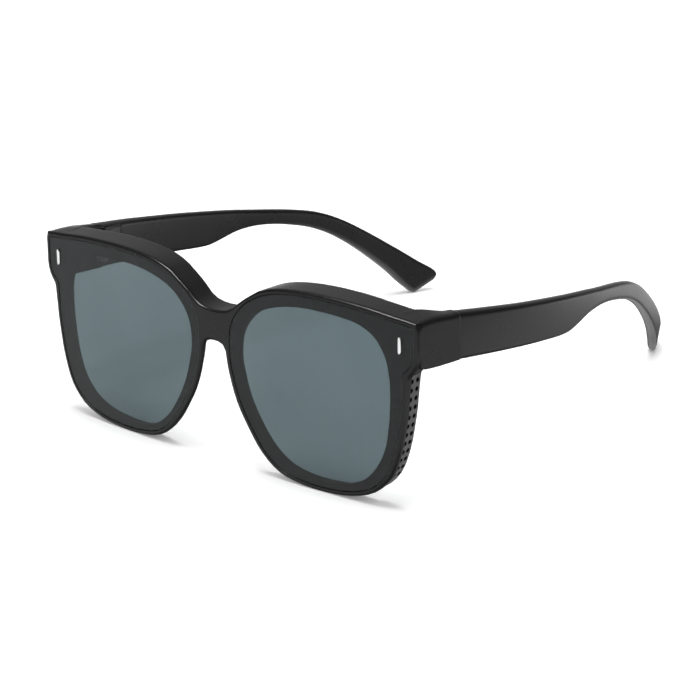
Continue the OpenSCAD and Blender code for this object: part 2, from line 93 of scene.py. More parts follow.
class NodeBench:
    """A short way to add and join the nodes of one tree."""

    def __init__(self, tree: bpy.types.NodeTree) -> None:
        """Work on a tree."""
        self.tree = tree

    def feed(self, target: Socket, value: object) -> None:
        """Link an input to a socket, or set it to a plain value.

        Args:
            target: the input.
            value: an output socket or a plain value.
        """
        if isinstance(value, Socket):
            self.tree.links.new(value, target)
        else:
            target.default_value = value

    def add(self, kind: str, **values: object) -> bpy.types.Node:
        """Add a node and give it its properties and inputs.

        Args:
            kind: the node's Blender type name.
            values: properties by their name, and inputs by theirs with spaces as underscores.

        Returns:
            The new node.
        """
        node = self.tree.nodes.new(kind)
        plain = {key: value for key, value in values.items() if key in node.bl_rna.properties}
        for key, value in plain.items():
            setattr(node, key, value)
        for key, value in values.items():
            if key not in plain:
                name = key.replace("_", " ")
                self.feed(next(i for i in node.inputs if i.name == name and i.enabled), value)
        return node

    def calculate(self, operation: str, *values: Number) -> Socket:
        """Work out one number.

        Args:
            operation: what a Math node does.
            values: its inputs in order.

        Returns:
            The result socket.
        """
        node = self.add("ShaderNodeMath", operation=operation)
        for target, value in zip(node.inputs, values):
            self.feed(target, value)
        return node.outputs[0]

    def spread(
        self, factor: Socket, low: Number, high: Number, start: float = 0.0, end: float = 1.0
    ) -> Socket:
        """Map a factor on a range of values, whose ends hold beyond it.

        Args:
            factor: the pattern or the choice.
            low: value at start.
            high: value at end.
            start: factor where the range starts.
            end: factor where the range ends.

        Returns:
            The result socket.
        """
        node = self.add("ShaderNodeMapRange")
        for name, value in (
            ("Value", factor),
            ("From Min", start),
            ("From Max", end),
            ("To Min", low),
            ("To Max", high),
        ):
            self.feed(node.inputs[name], value)
        return node.outputs["Result"]


@dataclass(frozen=True)
class Pattern:
    """A noise: features a metre, octaves, and how much the fine octaves count."""

    scale: float
    detail: float
    rough: float


class FinishBench(NodeBench):
    """A node bench on a new material with one shader."""

    pattern_start: float = 0.3
    pattern_end: float = 0.7
    edge_samples: int = 8

    def __init__(self, name: str) -> None:
        """Start a material.

        Args:
            name: the material's name.
        """
        self.material = bpy.data.materials.new(name)
        self.material.use_nodes = True
        super().__init__(self.material.node_tree)
        self.tree.nodes.clear()
        self.shader = self.add("ShaderNodeBsdfPrincipled")
        self.add("ShaderNodeOutputMaterial", Surface=self.shader.outputs["BSDF"])

    def set(self, **values: object) -> None:
        """Set or link the shader's inputs, by their names with spaces as underscores."""
        for key, value in values.items():
            self.feed(self.shader.inputs[key.replace("_", " ")], value)

    def place(self, scale: Triple = (1.0, 1.0, 1.0), turn: Triple = (0.0, 0.0, 0.0)) -> Socket:
        """Object coordinates, scaled and turned.

        Args:
            scale: the pattern's stretch along each axis.
            turn: the pattern's turn in degrees about each axis.

        Returns:
            The socket that holds the coordinates.
        """
        where = self.add("ShaderNodeTexCoord").outputs["Object"]
        angles = [math.radians(angle) for angle in turn]
        mapping = self.add("ShaderNodeMapping", Vector=where, Scale=scale, Rotation=angles)
        return mapping.outputs["Vector"]

    def noise(self, where: Socket, pattern: Pattern) -> Socket:
        """A noise.

        Args:
            where: its coordinates.
            pattern: its measures.

        Returns:
            The factor socket.
        """
        node = self.add(
            "ShaderNodeTexNoise",
            Vector=where,
            Scale=pattern.scale,
            Detail=pattern.detail,
            Roughness=pattern.rough,
        )
        return node.outputs["Fac"]

    def vary(self, factor: Socket, values: Range) -> Socket:
        """Spread a pattern's middle part over a range of values."""
        return self.spread(factor, *values, self.pattern_start, self.pattern_end)

    def tones(self, factor: Socket, dark: Triple, light: Triple) -> Socket:
        """Blend two colours by a pattern.

        Args:
            factor: the pattern.
            dark: colour where it is low.
            light: colour where it is high.

        Returns:
            The colour socket.
        """
        ramp = self.add("ShaderNodeValToRGB", Fac=factor)
        stops = ((self.pattern_start, dark), (self.pattern_end, light))
        for element, (position, colour) in zip(ramp.color_ramp.elements, stops):
            element.position = position
            element.color = (*colour, 1.0)
        return ramp.outputs["Color"]

    def bump(self, height: Socket, depth: float, edge: Socket | None = None) -> None:
        """Raise the surface by a pattern, over edges that are softened.

        Args:
            height: the pattern.
            depth: its full height in metres.
            edge: radius of the softened edges in metres, or None for sharp ones.
        """
        node = self.add("ShaderNodeBump", Height=height, Strength=1.0, Distance=depth)
        if edge is not None:
            soft = self.add("ShaderNodeBevel", samples=self.edge_samples, Radius=edge)
            self.feed(node.inputs["Normal"], soft.outputs["Normal"])
        self.set(Normal=node.outputs["Normal"])


# Finishes


@dataclass(frozen=True)
class MouldedPlastic:
    """Matte injection-moulded plastic with a fine spark-eroded grain and softened edges.

    The edges' radius grows along Y, from the lip round the plates to the parts behind it.
    A front edge of nought leaves all edges sharp.
    """

    name: str
    dark: Triple
    light: Triple
    roughness: Range = (0.25, 0.31)
    ior: float = 1.38
    clouds: Pattern = Pattern(scale=45.0, detail=4.0, rough=0.55)
    grain: Pattern = Pattern(scale=2600.0, detail=2.0, rough=0.6)
    grain_depth: float = 0.001 * MM
    front_edge: float = 0.34 * MM
    rear_edge: float = 1.0 * MM
    lip_back: float = -78.0 * MM
    rear_start: float = -73.0 * MM

    def build(self) -> bpy.types.Material:
        """Make the material.

        Returns:
            The finished material.
        """
        bench = FinishBench(self.name)
        where = bench.place()
        clouds = bench.noise(where, self.clouds)
        bench.set(
            Base_Color=bench.tones(clouds, self.dark, self.light),
            Roughness=bench.vary(clouds, self.roughness),
            IOR=self.ior,
        )
        edge = None
        if self.front_edge > 0.0:
            along = bench.add("ShaderNodeSeparateXYZ", Vector=where).outputs["Y"]
            edge = bench.spread(
                along, self.front_edge, self.rear_edge, self.lip_back, self.rear_start
            )
        bench.bump(bench.noise(where, self.grain), self.grain_depth, edge)
        return bench.material


@dataclass(frozen=True)
class TintedPlate:
    """Grey-blue see-through lens plate with a hard, smooth coat."""

    name: str
    dark: Triple
    light: Triple
    roughness: Range = (0.0, 0.006)
    ior: float = 1.42
    drift: Pattern = Pattern(scale=22.0, detail=2.0, rough=0.4)
    drift_turn: Triple = (0.0, 38.0, 0.0)
    smear: Pattern = Pattern(scale=160.0, detail=3.0, rough=0.5)

    def build(self) -> bpy.types.Material:
        """Make the material.

        Returns:
            The finished material.
        """
        bench = FinishBench(self.name)
        drift = bench.noise(bench.place(turn=self.drift_turn), self.drift)
        smear = bench.noise(bench.place(), self.smear)
        bench.set(
            Base_Color=bench.tones(drift, self.dark, self.light),
            Roughness=bench.vary(smear, self.roughness),
            Transmission_Weight=1.0,
            IOR=self.ior,
        )
        return bench.material


@dataclass(frozen=True)
class PolishedSteel:
    """Bright or brushed steel, whose marks are finer along an axis that brushed makes larger."""

    name: str
    colour: Triple
    shade: Triple
    roughness: Range
    brushed: Triple = (1.0, 1.0, 1.0)
    marks: Pattern = Pattern(scale=900.0, detail=4.0, rough=0.6)
    mark_depth: float = 0.004 * MM

    def build(self) -> bpy.types.Material:
        """Make the material.

        Returns:
            The finished material.
        """
        bench = FinishBench(self.name)
        marks = bench.noise(bench.place(scale=self.brushed), self.marks)
        bench.set(
            Base_Color=bench.tones(marks, self.shade, self.colour),
            Roughness=bench.vary(marks, self.roughness),
            Metallic=1.0,
        )
        bench.bump(marks, self.mark_depth)
        return bench.material


# Camera and studio


@dataclass
class PhotoCamera:
    """The photograph's viewpoint, in degrees and millimetres in the shared frame."""

    azimuth: float = 39.049
    elevation: float = 19.798
    roll: float = -0.438
    distance: float = 715.25
    target: Triple = (-8.83, -10.83, 11.60)
    focal_pixels: float = 2252.0
    frame_pixels: float = 700.0
    sensor: float = 36.0
    near_clip: float = 0.05
    far_clip: float = 20.0

    def build(self) -> None:
        """Make the camera and give it to the scene."""
        az, el, roll = (math.radians(a) for a in (self.azimuth, self.elevation, self.roll))
        back = Vector((math.sin(az) * math.cos(el), -math.cos(az) * math.cos(el), math.sin(el)))
        right = Vector((math.cos(az), math.sin(az), 0.0))
        up = back.cross(right)
        turned_right = right * math.cos(roll) + up * math.sin(roll)
        turned_up = up * math.cos(roll) - right * math.sin(roll)
        data = bpy.data.cameras.new("photo_camera")
        data.sensor_width = self.sensor
        data.lens = self.focal_pixels / self.frame_pixels * self.sensor
        data.clip_start, data.clip_end = self.near_clip, self.far_clip
        camera = bpy.data.objects.new("photo_camera", data)
        bpy.context.scene.collection.objects.link(camera)
        place = (Vector(self.target) + back * self.distance) * MM
        turn = Matrix((turned_right, turned_up, back)).transposed().to_4x4()
        camera.matrix_world = Matrix.Translation(place) @ turn
        bpy.context.scene.camera = camera


@dataclass(frozen=True)
class SoftBox:
    """One soft lamp that looks at the object and doesn't show through the plates."""

    name: str
    place: Triple
    width: float
    height: float
    watts: float
    aim: Triple = (0.0, 0.0, 0.02)
    in_gloss: bool = True
    in_diffuse: bool = True

    def build(self) -> None:
        """Make the lamp."""
        data = bpy.data.lights.new(self.name, "AREA")
        data.shape = "RECTANGLE"
        data.size, data.size_y = self.width, self.height
        data.energy = self.watts
        lamp = bpy.data.objects.new(self.name, data)
        lamp.visible_glossy, lamp.visible_diffuse = self.in_gloss, self.in_diffuse
        lamp.visible_transmission = False
        bpy.context.scene.collection.objects.link(lamp)
        place = Vector(self.place)
        turn = (Vector(self.aim) - place).to_track_quat("-Z", "Y").to_matrix().to_4x4()
        lamp.matrix_world = Matrix.Translation(place) @ turn


@dataclass(frozen=True)
class GlossPatch:
    """What the floor's painted glow in reflections gains along an axis, from start on and full at
    end.
    """

    axis: Axis
    start: float
    end: float
    more: float


@dataclass
class Studio:
    """A white floor and surround with two lamps.

    The camera and the clear plates see white. In reflections the floor glows instead with painted
    levels, brighter round the object and painted dark at its right, in a dim surround that is
    lighter at the back left.
    """

    # The floor: half its width in metres and its plain finish
    floor_reach: float = 3.0
    floor_colour: float = 0.95
    floor_roughness: float = 0.9

    # Its own white for straight looks, which grows with the distance in metres
    floor_lift: float = 0.14
    far_lift: float = 0.75
    far_start: float = 0.2
    far_end: float = 0.8

    # Its painted glow in reflections, and the distances between which that becomes the far level
    gloss_level: float = 0.6
    gloss_patches: tuple[GlossPatch, ...] = (
        GlossPatch(Axis.Y, start=-0.02, end=-0.08, more=0.63),
        GlossPatch(Axis.Y, start=0.1, end=0.14, more=0.85),
        GlossPatch(Axis.X, start=0.12, end=0.05, more=-0.36),
    )
    far_gloss: float = 0.9
    near_reach: float = 0.3
    far_reach: float = 0.6

    # What multiplies it along Y where a reflection meets the floor steeply
    under_front: float = 0.15
    under_arms: float = 4.6
    under_start: float = 0.035
    under_end: float = 0.06
    steep_facing: float = 0.25
    shallow_facing: float = 0.5

    # What multiplies it along X, towards the right, where the glow is painted dark
    painted_dark_gloss: float = 0.0
    painted_dark_start: float = 0.18
    painted_dark_end: float = 0.26

    # The surround: its light on matt faces, and its level in reflections by direction
    world_light: float = 0.68
    back_left: Triple = (-0.6, 0.75, 0.3)
    back_left_gloss: float = 0.31
    other_gloss: float = 0.015
    dim_start: float = 0.5
    dim_end: float = 0.85

    lamps: tuple[SoftBox, ...] = (
        SoftBox(
            "top_lamp",
            place=(0.0, -0.02, 1.2),
            width=0.7,
            height=0.7,
            watts=12.2,
            in_gloss=False,
        ),
        SoftBox(
            "edge_lamp",
            place=(-0.13, -0.53, 0.87),
            width=0.44,
            height=0.12,
            watts=14.0,
            in_diffuse=False,
        ),
    )

    def build(self) -> None:
        """Make floor, surround and lamps."""
        self.build_floor()
        self.build_world()
        for lamp in self.lamps:
            lamp.build()

    @staticmethod
    def looks(bench: NodeBench) -> tuple[Socket, Socket]:
        """Factors that are one where the camera or a clear plate looks, and where a gloss looks.

        Args:
            bench: the bench on the tree that they are for.

        Returns:
            The socket for straight looks and the socket for gloss.
        """
        path = bench.add("ShaderNodeLightPath").outputs
        straight = bench.calculate("MAXIMUM", path["Is Camera Ray"], path["Is Transmission Ray"])
        return straight, bench.calculate("GREATER_THAN", path["Is Glossy Ray"], straight)

    def floor_gloss(self, bench: FinishBench, axes: bpy.types.Node, reach: Socket) -> Socket:
        """Work out the painted glow that the floor shows in reflections.

        Args:
            bench: the floor's bench.
            axes: the node that gives the place on the floor along each axis.
            reach: distance from the middle of the floor.

        Returns:
            The level's socket.
        """
        level = self.gloss_level
        for patch in self.gloss_patches:
            along = axes.outputs[patch.axis.value]
            more = bench.spread(along, 0.0, patch.more, patch.start, patch.end)
            level = bench.calculate("ADD", more, level)
        under = bench.spread(
            axes.outputs["Y"], self.under_front, self.under_arms, self.under_start, self.under_end
        )
        facing = bench.add("ShaderNodeLayerWeight").outputs["Facing"]
        steep = bench.spread(facing, 1.0, 0.0, self.steep_facing, self.shallow_facing)
        level = bench.calculate("MULTIPLY", level, bench.spread(steep, 1.0, under))
        near = bench.spread(reach, 1.0, 0.0, self.near_reach, self.far_reach)
        painted_dark = bench.spread(
            axes.outputs["X"], 1.0, self.painted_dark_gloss, self.painted_dark_start, self.painted_dark_end
        )
        return bench.calculate("MULTIPLY", bench.spread(near, self.far_gloss, level), painted_dark)

    def build_floor(self) -> None:
        """Make the pale floor, which keeps the object's shadow."""
        mesh = bpy.data.meshes.new("floor")
        end = self.floor_reach
        corners = [(-end, -end, 0.0), (end, -end, 0.0), (end, end, 0.0), (-end, end, 0.0)]
        mesh.from_pydata(corners, [], [(0, 1, 2, 3)])
        floor = linked_object("floor", mesh)
        bench = FinishBench("pale_floor")
        where = bench.place()
        axes = bench.add("ShaderNodeSeparateXYZ", Vector=where)
        distance = bench.add("ShaderNodeVectorMath", operation="LENGTH")
        bench.feed(distance.inputs[0], where)
        reach = distance.outputs["Value"]
        straight, gloss = self.looks(bench)
        white = bench.spread(reach, self.floor_lift, self.far_lift, self.far_start, self.far_end)
        # Reflections see the floor's painted glow instead of its lit colour: bright patches round
        # and under the object, painted dark at its right
        painted_reflection_glow = bench.spread(gloss, 0.0, self.floor_gloss(bench, axes, reach))
        bench.set(
            Base_Color=bench.spread(gloss, self.floor_colour, 0.0),
            Roughness=self.floor_roughness,
            Specular_IOR_Level=0.0,
            Emission_Color=WHITE,
            Emission_Strength=bench.spread(straight, painted_reflection_glow, white),
        )
        mesh.materials.append(bench.material)

    def build_world(self) -> None:
        """Make the surround."""
        world = bpy.data.worlds.new("white_surround")
        bpy.context.scene.world = world
        world.use_nodes = True
        bench = NodeBench(world.node_tree)
        bench.tree.nodes.clear()
        along = bench.add("ShaderNodeVectorMath", operation="DOT_PRODUCT")
        bench.feed(along.inputs[0], bench.add("ShaderNodeTexCoord").outputs["Generated"])
        bench.feed(along.inputs[1], self.back_left)
        dim = bench.spread(
            along.outputs["Value"],
            self.other_gloss,
            self.back_left_gloss,
            self.dim_start,
            self.dim_end,
        )
        straight, gloss = self.looks(bench)
        level = bench.spread(straight, bench.spread(gloss, self.world_light, dim), 1.0)
        ground = bench.add("ShaderNodeBackground", Color=WHITE, Strength=level)
        bench.add("ShaderNodeOutputWorld", Surface=ground.outputs["Background"])


# Meshes


def linked_object(name: str, mesh: bpy.types.Mesh) -> bpy.types.Object:
    """Put a mesh into the scene as an object at the origin.

    Args:
        name: the object's name.
        mesh: its mesh.

    Returns:
        The new object.
    """
    piece = bpy.data.objects.new(name, mesh)
    bpy.context.scene.collection.objects.link(piece)
    return piece


def settle(piece: bpy.types.Object) -> None:
    """Turn what a piece's modifiers make into its plain mesh and remove them.

    Args:
        piece: the object whose modifiers are finished.
    """
    bpy.context.view_layer.update()
    evaluated = piece.evaluated_get(bpy.context.evaluated_depsgraph_get())
    mesh = bpy.data.meshes.new_from_object(evaluated)
    piece.modifiers.clear()
    piece.data = mesh
    mesh.name = piece.name


def welded_copy(node: str, name: str, flat: float = 0.0) -> bpy.types.Object:
    """Copy a CAD node's mesh, join its loose triangles and shade it smooth up to its creases.

    Args:
        node: the CAD node's name.
        name: the piece's name.
        flat: angle in degrees up to which neighbouring faces become one, or nought for none.

    Returns:
        The new object.
    """
    bm = bmesh.new()
    bm.from_mesh(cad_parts[node].data)
    bmesh.ops.remove_doubles(bm, verts=bm.verts, dist=WELD)
    if flat > 0.0:
        limit = math.radians(flat)
        bmesh.ops.dissolve_limit(bm, angle_limit=limit, verts=bm.verts, edges=bm.edges)
    for face in bm.faces:
        face.smooth = True
    for edge in bm.edges:
        edge.smooth = edge.is_manifold and edge.calc_face_angle() < math.radians(CREASE)
    mesh = bpy.data.meshes.new(name)
    bm.to_mesh(mesh)
    bm.free()
    if "custom_normal" in mesh.attributes:
        mesh.attributes.remove(mesh.attributes["custom_normal"])
    mesh.materials.clear()
    return linked_object(name, mesh)


def dress(
    piece: bpy.types.Object,
    material: bpy.types.Material | None,
    body: Body,
    slot: str,
    *nodes: str,
) -> None:
    """Finish a piece and hand it to the frame.

    Args:
        piece: the piece.
        material: its finish, or None where its mesh already has it.
        body: the CAD body that it rides on.
        slot: the record's material slot; not used.
        nodes: the CAD nodes that it stands for.
    """
    if material is not None:
        piece.data.materials.append(material)
    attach(piece, body.value)
    if nodes:
        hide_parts(*nodes)
    LOG.info("%s: %d faces on %s", piece.name, len(piece.data.polygons), body.value)


class ShapeBench(NodeBench):
    """A node bench on one Geometry Nodes tree, which is run once."""

    def __init__(self, name: str) -> None:
        """Start an empty tree with a geometry input and output.

        Args:
            name: the tree's name.
        """
        super().__init__(bpy.data.node_groups.new(name, "GeometryNodeTree"))
        for way in ("INPUT", "OUTPUT"):
            self.tree.interface.new_socket(
                "Geometry", in_out=way, socket_type="NodeSocketGeometry"
            )
        self.entry = self.add("NodeGroupInput")
        self.exit = self.add("NodeGroupOutput")
        self.values: dict[str, object] = {}

    def size(self, name: str, value: object, kind: str = "NodeSocketFloat") -> Socket:
        """Add a named input and remember its value.

        Args:
            name: the input's name.
            value: what it is set to when the tree runs.
            kind: the socket's Blender type name.

        Returns:
            The input's socket inside the tree.
        """
        item = self.tree.interface.new_socket(name, in_out="INPUT", socket_type=kind)
        self.values[item.identifier] = value
        return self.entry.outputs[name]

    def sum(self, first: Number, second: Number, factor: float = 1.0) -> Socket:
        """First plus factor times second."""
        return self.calculate("MULTIPLY_ADD", second, factor, first)

    def vector(self, x: Number, y: Number, z: Number) -> Socket:
        """Three numbers as a vector."""
        return self.add("ShaderNodeCombineXYZ", X=x, Y=y, Z=z).outputs[0]

    def cylinder(self, facets: Socket, radius: Socket, depth: Socket, top: Number) -> Socket:
        """An upright cylinder whose top lies at a height.

        Args:
            facets: number of its sides.
            radius: its radius.
            depth: its height.
            top: the height of its top.

        Returns:
            The geometry socket.
        """
        body = self.add("GeometryNodeMeshCylinder", Vertices=facets, Radius=radius, Depth=depth)
        lift = self.vector(0.0, 0.0, self.sum(top, depth, -0.5))
        moved = self.add(
            "GeometryNodeTransform", Geometry=body.outputs["Mesh"], Translation=lift
        )
        return moved.outputs[0]

    def cut(self, body: Socket, tool: Socket) -> Socket:
        """Take one closed mesh out of another.

        Args:
            body: what is cut.
            tool: what is taken out.

        Returns:
            The geometry socket.
        """
        node = self.add("GeometryNodeMeshBoolean", operation="DIFFERENCE", solver="EXACT")
        self.feed(node.inputs[0], body)
        self.feed(node.inputs[1], tool)
        return node.outputs[0]

    def join(self, *parts: Socket) -> Socket:
        """Put meshes together.

        Args:
            parts: the meshes.

        Returns:
            The geometry socket.
        """
        whole = self.add("GeometryNodeJoinGeometry")
        for part in parts:
            self.feed(whole.inputs[0], part)
        return whole.outputs[0]

    def repeat(
        self, shape: Socket, material: bpy.types.Material, turn: Socket | None = None
    ) -> None:
        """Put a shape on each point of the geometry that comes in, and end the tree.

        Args:
            shape: the shape to repeat.
            material: its finish.
            turn: rotation socket for each point, or None.
        """
        placed = self.add(
            "GeometryNodeInstanceOnPoints", Points=self.entry.outputs[0], Instance=shape
        )
        if turn is not None:
            self.feed(placed.inputs["Rotation"], turn)
        real = self.add("GeometryNodeRealizeInstances", Geometry=placed.outputs[0])
        finish = self.size("Finish", material, "NodeSocketMaterial")
        dressed = self.add(
            "GeometryNodeSetMaterial", Geometry=real.outputs[0], Material=finish
        )
        self.feed(self.exit.inputs[0], dressed.outputs[0])

    def run(
        self,
        name: str,
        points: list[Vector],
        axes: list[Vector] | None = None,
        crease: float = CREASE,
    ) -> bpy.types.Object:
        """Run the tree on loose points and keep the result as a plain mesh.

        Args:
            name: the piece's name.
            points: where the shape is repeated.
            axes: for each point the direction of the shape's upright axis.
            crease: angle in degrees from which an edge stays sharp.

        Returns:
            The piece.
        """
        mesh = bpy.data.meshes.new(name)
        mesh.from_pydata([tuple(point) for point in points], [], [])
        if axes is not None:
            kept = mesh.attributes.new("axis", "FLOAT_VECTOR", "POINT")
            kept.data.foreach_set("vector", [c for axis in axes for c in axis])
        piece = linked_object(name, mesh)
        modifier = piece.modifiers.new("build", "NODES")
        modifier.node_group = self.tree
        for identifier, value in self.values.items():
            modifier[identifier] = value
        settle(piece)
        piece.data.shade_smooth()
        piece.data.set_sharp_from_angle(angle=math.radians(crease))
        return piece


# The sunglasses


@dataclass
class MouldedShells:
    """The moulded front and the two temples, with even shading."""

    shell: bpy.types.Material
    # The temples' finish: a slightly lighter, glossier copy of the same black plastic, painted
    # light
    temple_lit_copy: bpy.types.Material

    def build(self) -> None:
        """Make the three shells."""
        self.shape("front_shell", self.shell, Body.FRONT, "front_frame")
        for side in Side:
            word = side.value
            self.shape(f"temple_shell_{word}", self.temple_lit_copy, side.temple, f"temple_{word}")

    @staticmethod
    def shape(name: str, finish: bpy.types.Material, body: Body, node: str) -> None:
        """Copy one CAD shell and even out its shading.

        Args:
            name: the piece's name.
            finish: its material.
            body: what it rides on.
            node: the CAD node that it stands for.
        """
        piece = welded_copy(node, name)
        weights = piece.modifiers.new("even_shading", "WEIGHTED_NORMAL")
        weights.keep_sharp = True
        settle(piece)
        dress(piece, finish, body, "frame_plastic", node)


@dataclass
class LensPlates:
    """The two tinted plates, with a ground edge that leaves a fine groove inside the lip."""

    plate: bpy.types.Material
    flat: float = 0.2
    ground: float = 0.24 * MM
    ground_steps: int = 3
    ground_angle: float = 50.0
    air: float = 0.05 * MM
    back_facing: float = 0.3

    def build(self) -> None:
        """Make both plates, their backs a hair off the ledges so that light passes cleanly."""
        for side in Side:
            node = f"lens_{side.value}"
            piece = welded_copy(node, f"lens_plate_{side.value}", self.flat)
            edge = piece.modifiers.new("ground_edge", "BEVEL")
            edge.width, edge.segments = self.ground, self.ground_steps
            edge.limit_method, edge.angle_limit = "ANGLE", math.radians(self.ground_angle)
            edge.harden_normals = True
            settle(piece)
            for vertex in piece.data.vertices:
                if vertex.normal.y > self.back_facing:
                    vertex.co.y -= self.air
            dress(piece, self.plate, Body.FRONT, "lens_tint", node)


@dataclass
class SidePanels:
    """The perforated panels behind the outer lip, and near-black liners sunk in their holes as
    painted shade.
    """

    # Finish of the panels: the black plastic painted lighter grey, painted light on faces that
    # catch it
    panel: bpy.types.Material
    # Finish of the hole liners: near-black, painted shade that stands for the shade inside the
    # holes
    dark: bpy.types.Material
    hole: float = 1.4 * MM
    play: float = 0.002 * MM
    wall: float = 0.08 * MM
    depth: float = 1.0 * MM
    sunk: float = 0.01 * MM
    facets: int = 16
    rim_angle: float = 55.0
    least_ring: float = 0.85
    most_ring: float = 1.3
    row_digits: int = 6

    def build(self) -> None:
        """Make the panels, then the near-black liners of painted shade in all their holes."""
        points, axes = [], []
        for side in Side:
            node = f"vent_panel_{side.value}"
            piece = welded_copy(node, f"side_panel_{side.value}")
            for mouth, outward in self.mouths(piece.data):
                points.append(mouth)
                axes.append(outward)
            dress(piece, self.panel, Body.FRONT, "vent_plastic", node)
        bench = ShapeBench("perforation_shade_cups")
        facets = bench.size("Facets", self.facets, "NodeSocketInt")
        radius = bench.size("Radius", self.hole / 2 - self.play)
        wall, depth = bench.size("Wall", self.wall), bench.size("Depth", self.depth)
        top = bench.sum(0.0, bench.size("Sunk", self.sunk), -1.0)
        outside = bench.cylinder(facets, radius, depth, top)
        bore = bench.sum(radius, wall, -1.0)
        inside = bench.cylinder(facets, bore, depth, bench.sum(top, wall))
        axis = bench.add("GeometryNodeInputNamedAttribute", data_type="FLOAT_VECTOR", Name="axis")
        turn = bench.add("FunctionNodeAlignRotationToVector", axis="Z", Vector=axis.outputs[0])
        # Near-black liners sunk in the holes: painted shade where the holes would show their own
        # shade
        bench.repeat(bench.cut(outside, inside), self.dark, turn.outputs[0])
        shade_cups = bench.run("perforation_shade_cups", points, axes)
        dress(shade_cups, None, Body.FRONT, "vent_plastic")
        LOG.info("%d perforations", len(points))

    def mouths(self, mesh: bpy.types.Mesh) -> list[tuple[Vector, Vector]]:
        """Find the outer mouths of a panel's holes.

        Args:
            mesh: the panel's mesh.

        Returns:
            For each hole the middle of its mouth and the direction out of it.
        """
        bm = bmesh.new()
        bm.from_mesh(mesh)
        limit = math.radians(self.rim_angle)
        sharp = {edge for edge in bm.edges if edge.calc_face_angle(0.0) > limit}
        rings = []
        while sharp:
            ring, front = set(), [sharp.pop()]
            while front:
                edge = front.pop()
                ring.add(edge)
                near = {e for v in edge.verts for e in v.link_edges if e in sharp}
                sharp -= near
                front.extend(near)
            # A fixed order gives the same sums in each run
            edges = sorted(ring, key=lambda edge: edge.index)
            share = sum(edge.calc_length() for edge in edges) / (math.pi * self.hole)
            if self.least_ring < share < self.most_ring:
                ends = [vert.co for edge in edges for vert in edge.verts]
                rings.append(sum(ends, Vector()) / len(ends))
        bm.free()
        rings.sort(key=lambda ring: (round(ring.z, self.row_digits), ring.y))
        pairs = []
        for ring in rings:
            other = min((r for r in rings if r is not ring), key=lambda r: (r - ring).length)
            if abs(ring.x) > abs(other.x):
                pairs.append((ring, (ring - other).normalized()))
        return pairs


